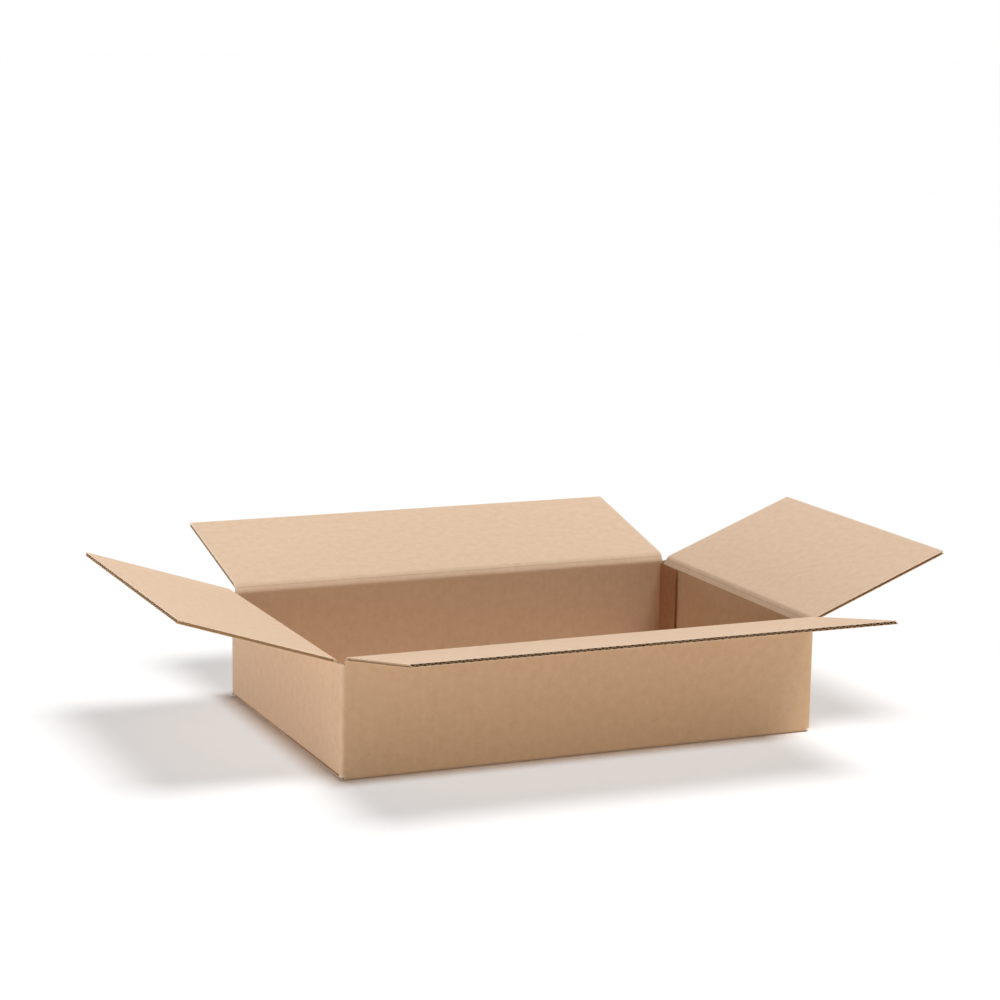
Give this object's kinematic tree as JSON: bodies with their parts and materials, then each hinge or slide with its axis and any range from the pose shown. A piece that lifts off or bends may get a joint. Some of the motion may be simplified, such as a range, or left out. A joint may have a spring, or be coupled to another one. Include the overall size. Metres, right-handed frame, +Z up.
{
  "type": "shipping box",
  "caption": "Shallow rectangular shipping box of corrugated board, open, with hinged top flaps and a glued bottom.",
  "frame": {"origin": "middle of the underside, on the surface that the box stands on", "axes": "+X along the long walls towards the end wall with the glue tab, +Y from the front wall to the back wall, +Z up out of the open top"},
  "size_m": [0.7178, 0.5736, 0.1548],
  "materials": {
    "kraft_outer_liner": "matte",
    "kraft_inner_liner": "matte"
  },
  "bodies": {
    "carton": {"carton_body": "kraft_outer_liner"},
    "flap_front": {"front_flap": "kraft_inner_liner"},
    "flap_back": {"back_flap": "kraft_inner_liner"},
    "flap_left": {"left_flap": "kraft_inner_liner"},
    "flap_right": {"right_flap": "kraft_inner_liner"}
  },
  "joints": [
    {"name": "front_crease", "type": "hinge", "parent": "carton", "child": "flap_front", "pos_m": [0, -0.1455, 0.1023], "axis": [1, 0, 0], "range_deg": [-169, 55]},
    {"name": "back_crease", "type": "hinge", "parent": "carton", "child": "flap_back", "pos_m": [0, 0.1455, 0.1023], "axis": [-1, 0, 0], "range_deg": [-167, 57]},
    {"name": "left_crease", "type": "hinge", "parent": "carton", "child": "flap_left", "pos_m": [-0.223, 0, 0.099], "axis": [0, -1, 0], "range_deg": [-162, 60.5]},
    {"name": "right_crease", "type": "hinge", "parent": "carton", "child": "flap_right", "pos_m": [0.223, 0, 0.099], "axis": [0, 1, 0], "range_deg": [-158.5, 64]}
  ]
}
